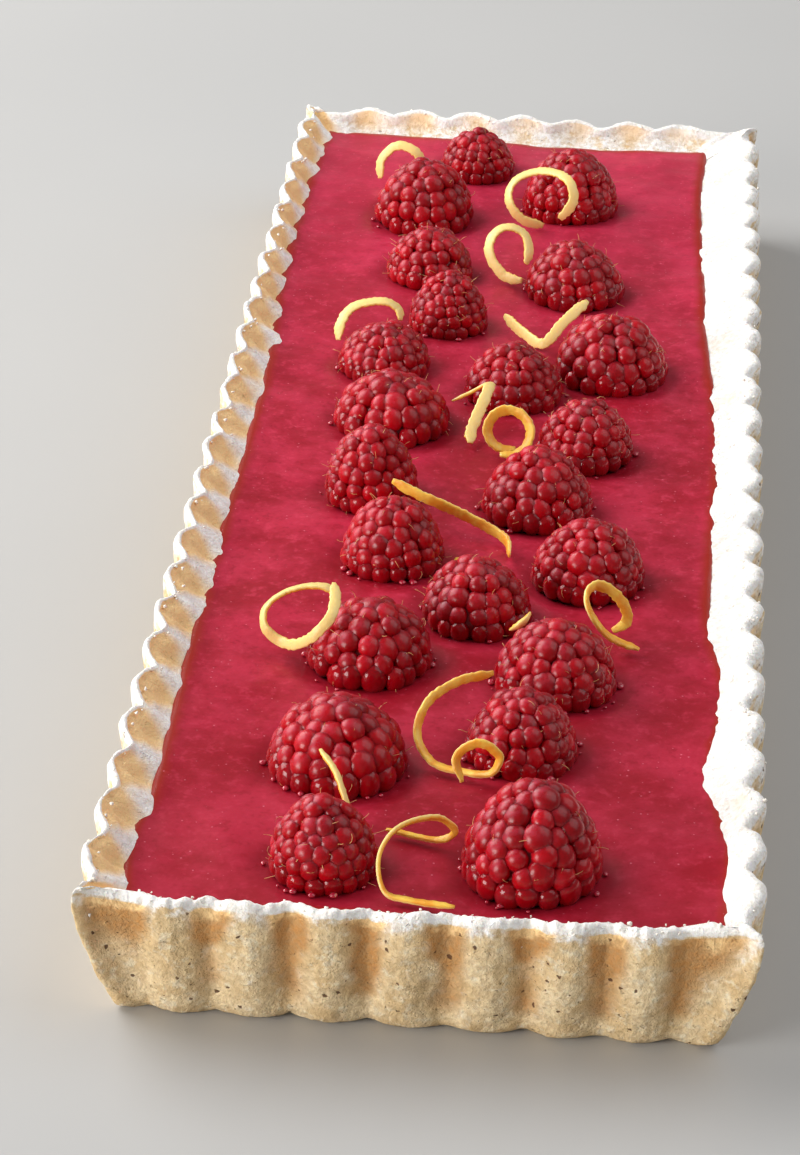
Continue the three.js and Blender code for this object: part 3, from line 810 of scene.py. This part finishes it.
zest_routes = [
    [(-7, -146.5, rest), (2, -149, rest + 0.3), (4.2, -149.4, 25), (1.8, -150.5, 28), (-4.8, -158.2, 30),
     (-6.9, -163, 27.5), (-5.5, -166, 23.3), (-1.8, -167, rest), (5.5, -168, rest)],
    [(-12, -146.8, rest), (-13.8, -144.9, 27), (-15.8, -141.5, 30), (-18.7, -137.3, 31.5)],
    [(7.6, -107.5, 31), (1.4, -111.7, 31), (-3, -117.1, 29.5), (-4, -121.4, 26), (-1.2, -124.8, rest + 0.3),
     (4, -126.8, rest), (8.8, -128.6, 24), (10, -128.4, 27), (6.6, -128.6, 29.5), (3, -129.4, 27),
     (4.2, -131.2, 23.4)],
    [(-21.7, -84.2, 34), (-21.1, -87.8, 32.7), (-21.5, -91.8, 31.5), (-23.8, -93.2, 28.7),
     (-27.3, -90.8, 25), (-30.6, -88.2, 24), (-33.3, -87.4, 26), (-33.7, -85.7, 28.4), (-31.6, -82.8, 30),
     (-27.4, -80.7, 31), (-23.6, -80.2, 31), (-21.4, -80.7, 30)],
    [(27.1, -75.5, 23.2), (29.4, -74.6, 24.5), (29.3, -74.4, 27), (27.9, -74.8, 29.5), (26.3, -74.8, 31),
     (23.9, -75.2, 32), (22.4, -78, 32), (22.4, -80.2, 31), (23.8, -81.3, 28.5), (26, -80.6, 25.3),
     (28.4, -80, 23.5), (32, -81, rest)],
    [(-15.6, -33.4, 29.5), (-10, -35, 27.5), (-3.5, -36.4, 25.5), (2.3, -39, 24), (6.4, -42.5, 23.2),
     (7.4, -48, rest)],
    [(-7.4, 11.8, 25.6), (-4, 12.6, 27.2), (-0.3, 12.8, 29.3), (-0.8, 8.9, 28), (-2.1, 5.5, 25.4),
     (-3, 2.7, 23.6), (-2.9, -1.1, rest)],
    curl((4.6, -6), 4.2, -20, 400, 35, 3),
    [(17.6, 56.5, 29.5), (13, 51.6, 26.5), (9.2, 48, rest + 0.3), (4.6, 53, 23), (0.4, 58, 24.5)],
    [(-33.2, 44.2, rest + 0.1), (-32.8, 46.4, 26), (-30.9, 49.4, 28), (-27.3, 50.7, 29),
     (-23.6, 51.2, 29), (-21.2, 50.9, 27.5), (-20.8, 49.2, 26)],
    [(3, 80, 23.2), (-0.5, 81.7, 23.2), (-3.3, 83, 25.5), (-4.6, 84.5, 28.5), (-3.3, 87.2, 31.2),
     (-0.2, 88.5, 32), (2.9, 88.1, 30.5), (4, 85.8, 28), (3.6, 82.8, 26)],
    [(6, 112.7, rest), (1.3, 111.9, 24.5), (-1.8, 112.9, 28), (-1.4, 116.1, 31), (2.4, 118.3, 33),
     (7.3, 117, 34), (11.5, 112.3, 33.5), (12.4, 109.9, 30), (9.7, 109.4, 26)],
    [(-32.4, 136, rest), (-32.2, 137.5, 27), (-28.7, 138.4, 30), (-24.4, 137.4, 29), (-22.6, 137, 25),
     (-23, 136.4, rest)],
]
# Each strand's width, and how far its flat side is turned from the axis that it curls about
zest_cuts = [
    (1.1, 35), (1, 20), (1.5, 50), (1.9, 55), (1.9, 55), (2, 10), (2.2, 50), (2, 55), (2.2, 50),
    (2.2, 55), (2.2, 55), (2.2, 55), (2.2, 55),
]


def smooth_route(points, spacing):
    """A curve through the points, whose steps keep to the spacing."""
    points = [Vector(point) for point in points]
    points = [2 * points[0] - points[1], *points, 2 * points[-1] - points[-2]]
    route = []
    for p0, p1, p2, p3 in zip(points, points[1:], points[2:], points[3:]):
        d0, d1, d2 = [(b - a).length ** 0.5 for a, b in ((p0, p1), (p1, p2), (p2, p3))]
        t1 = ((p1 - p0) / d0 - (p2 - p0) / (d0 + d1) + (p2 - p1) / d1) * d1
        t2 = ((p2 - p1) / d1 - (p3 - p1) / (d1 + d2) + (p3 - p2) / d2) * d1
        number = max(round((p2 - p1).length / spacing), 1)
        for step in range(number):
            u = step / number
            bend = (3 * (p2 - p1) - 2 * t1 - t2) * u ** 2 + (2 * (p1 - p2) + t1 + t2) * u ** 3
            route.append(p1 + t1 * u + bend)
    route.append(points[-2])
    return route


zest_finish, add, feed = new_finish("orange_peel", {
    "Roughness": 0.42, "Subsurface Weight": 0.25, "Subsurface Radius": (0.0012, 0.0008, 0.0003),
    "Subsurface Scale": 1.0,
})
pith = add("Attribute", attribute_name="pith", output=2)
peel_mottle = eased(add, grain(add, 380, 2), 0.35, 0.65)
peel_tone = mixed(add, peel_mottle, (0.86, 0.38, 0.03, 1), (0.94, 0.58, 0.08, 1))
pith_edge = times(add, plus(add, grain(add, 900), -0.5), 0.6)
peel_tone = mixed(add, eased(add, plus(add, pith, pith_edge), 0.3, 0.8), peel_tone, (0.94, 0.68, 0.24, 1))
feed(peel_tone, "Base Color")
feed(add("Bump", {"Height": grain(add, 1300, 3), "Strength": 0.4, "Distance": 0.0003}), "Normal")

flat_section = [(-1, -0.6), (-0.8, -1), (0.8, -1), (1, -0.6), (1, 0.6), (0.8, 1), (-0.8, 1), (-1, 0.6)]


def cut_strand(bm, points, width, turned, draw):
    """Sweeps a strand of peel along its points, with pith on one side and finely notched edges."""
    pith_layer = bm.verts.layers.float.get("pith") or bm.verts.layers.float.new("pith")
    route = smooth_route(points, zest_step)
    middle = sum(route, Vector()) / len(route)
    axis = Vector((0, 0, 1e-4))
    for a, b in zip(route, route[1:]):
        axis += (a - middle).cross(b - middle)
    axis.normalize()
    stations = []
    for step, place in enumerate(route):
        ahead = (route[min(step + 1, len(route) - 1)] - route[max(step - 1, 0)]).normalized()
        wide = (axis - ahead * axis.dot(ahead)).normalized()
        wide = Matrix.Rotation(math.radians(turned), 3, ahead) @ wide
        ends = min(step, len(route) - 1 - step)
        taper = 0.5 + 0.5 * min(ends / 4, 1)
        stations.append((place, wide * width / 2, ahead.cross(wide) * zest_thickness / 2, taper))
    loops = sweep(bm, stations, flat_section)
    for loop, station in zip(loops, stations):
        sideways = station[1].normalized()
        notch = [draw.uniform(-zest_notch, zest_notch) * width for _ in range(2)]
        for vert, (a, b) in zip(loop, flat_section):
            vert.co += sideways * (notch[0] if a > 0 else notch[1])
            vert[pith_layer] = 1.0 if b > 0 else 0.0


for index, (points, (width, turned)) in enumerate(zip(zest_routes, zest_cuts)):
    name = f"zest_{index + 1:02d}"
    zest_bm = bmesh.new()
    cut_strand(zest_bm, points, width, turned, random.Random(300 + index))
    bmesh.ops.recalc_face_normals(zest_bm, faces=zest_bm.faces)
    strand = set_out(zest_bm, name + "_peel", zest_finish)
    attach(strand, "root")
    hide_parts(name)

# Zest tips: two short ends of peel that show between berries and lie on the curd.
tip_routes = [
    [(9.3, -81.5, 25.4), (10.6, -82.8, 27), (11.8, -82.3, 28), (12.6, -80.6, 28.5)],
    [(-2.4, -50.6, rest), (-1.1, -51.7, rest + 0.3), (-0.1, -53.1, 24), (1, -53.8, 24.6)],
]
tip_cut = (1.3, 40)
tips_bm = bmesh.new()
for index, points in enumerate(tip_routes):
    cut_strand(tips_bm, points, *tip_cut, random.Random(340 + index))
bmesh.ops.recalc_face_normals(tips_bm, faces=tips_bm.faces)
tips = set_out(tips_bm, "zest_tips", zest_finish)
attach(tips, "root")

# Crumbs: bits of shortcrust broken from the rim. They cling along the rim, and a share sit
# a little lower on the outer wall under it.
crumb_draw = random.Random(31)
crumb_bm = bmesh.new()
crumb_number = 380
fallen_share = 0.18
for count in range(crumb_number):
    place = crumb_draw.randrange(len(outline))
    column, rim = outline[place], rims[place]
    size = crumb_draw.uniform(0.15, 0.42) * (1.5 if crumb_draw.random() < 0.08 else 1)
    inset = crumb_draw.uniform(0.3, 3.2)
    x, y = outline_point(column, inset, 1 - 0.06 * inset)
    z = rim - 0.45
    if crumb_draw.random() < fallen_share:
        fall = crumb_draw.uniform(1, 6)
        x, y = outline_point(column, wall_flare * fall / tart_height + 0.1, 1)
        z = rim - fall
    turned = crumb_draw.uniform(0, 6.28)
    spin = Matrix.Rotation(turned, 4, Vector((crumb_draw.random(), 0.5, 0.3)).normalized())
    breadth = size * crumb_draw.uniform(0.6, 1)
    stretch = Matrix.Diagonal((size, breadth, size * crumb_draw.uniform(0.5, 0.9), 1))
    shape = Matrix.Translation((x, y, z)) @ spin @ stretch
    made = bmesh.ops.create_icosphere(crumb_bm, subdivisions=1, radius=1, matrix=shape)["verts"]
    for vert in made:
        vert.co += Vector([crumb_draw.uniform(-0.35, 0.35) * size for _ in range(3)])
crumb_finish, add, feed = new_finish("crumbs", {"Roughness": 0.9, "Specular IOR Level": 0.2})
feed(mixed(add, grain(add, 600, 3), (0.86, 0.78, 0.66, 1), (0.95, 0.91, 0.85, 1)), "Base Color")
crumbs = set_out(crumb_bm, "rim_crumbs", crumb_finish)
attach(crumbs, "root")
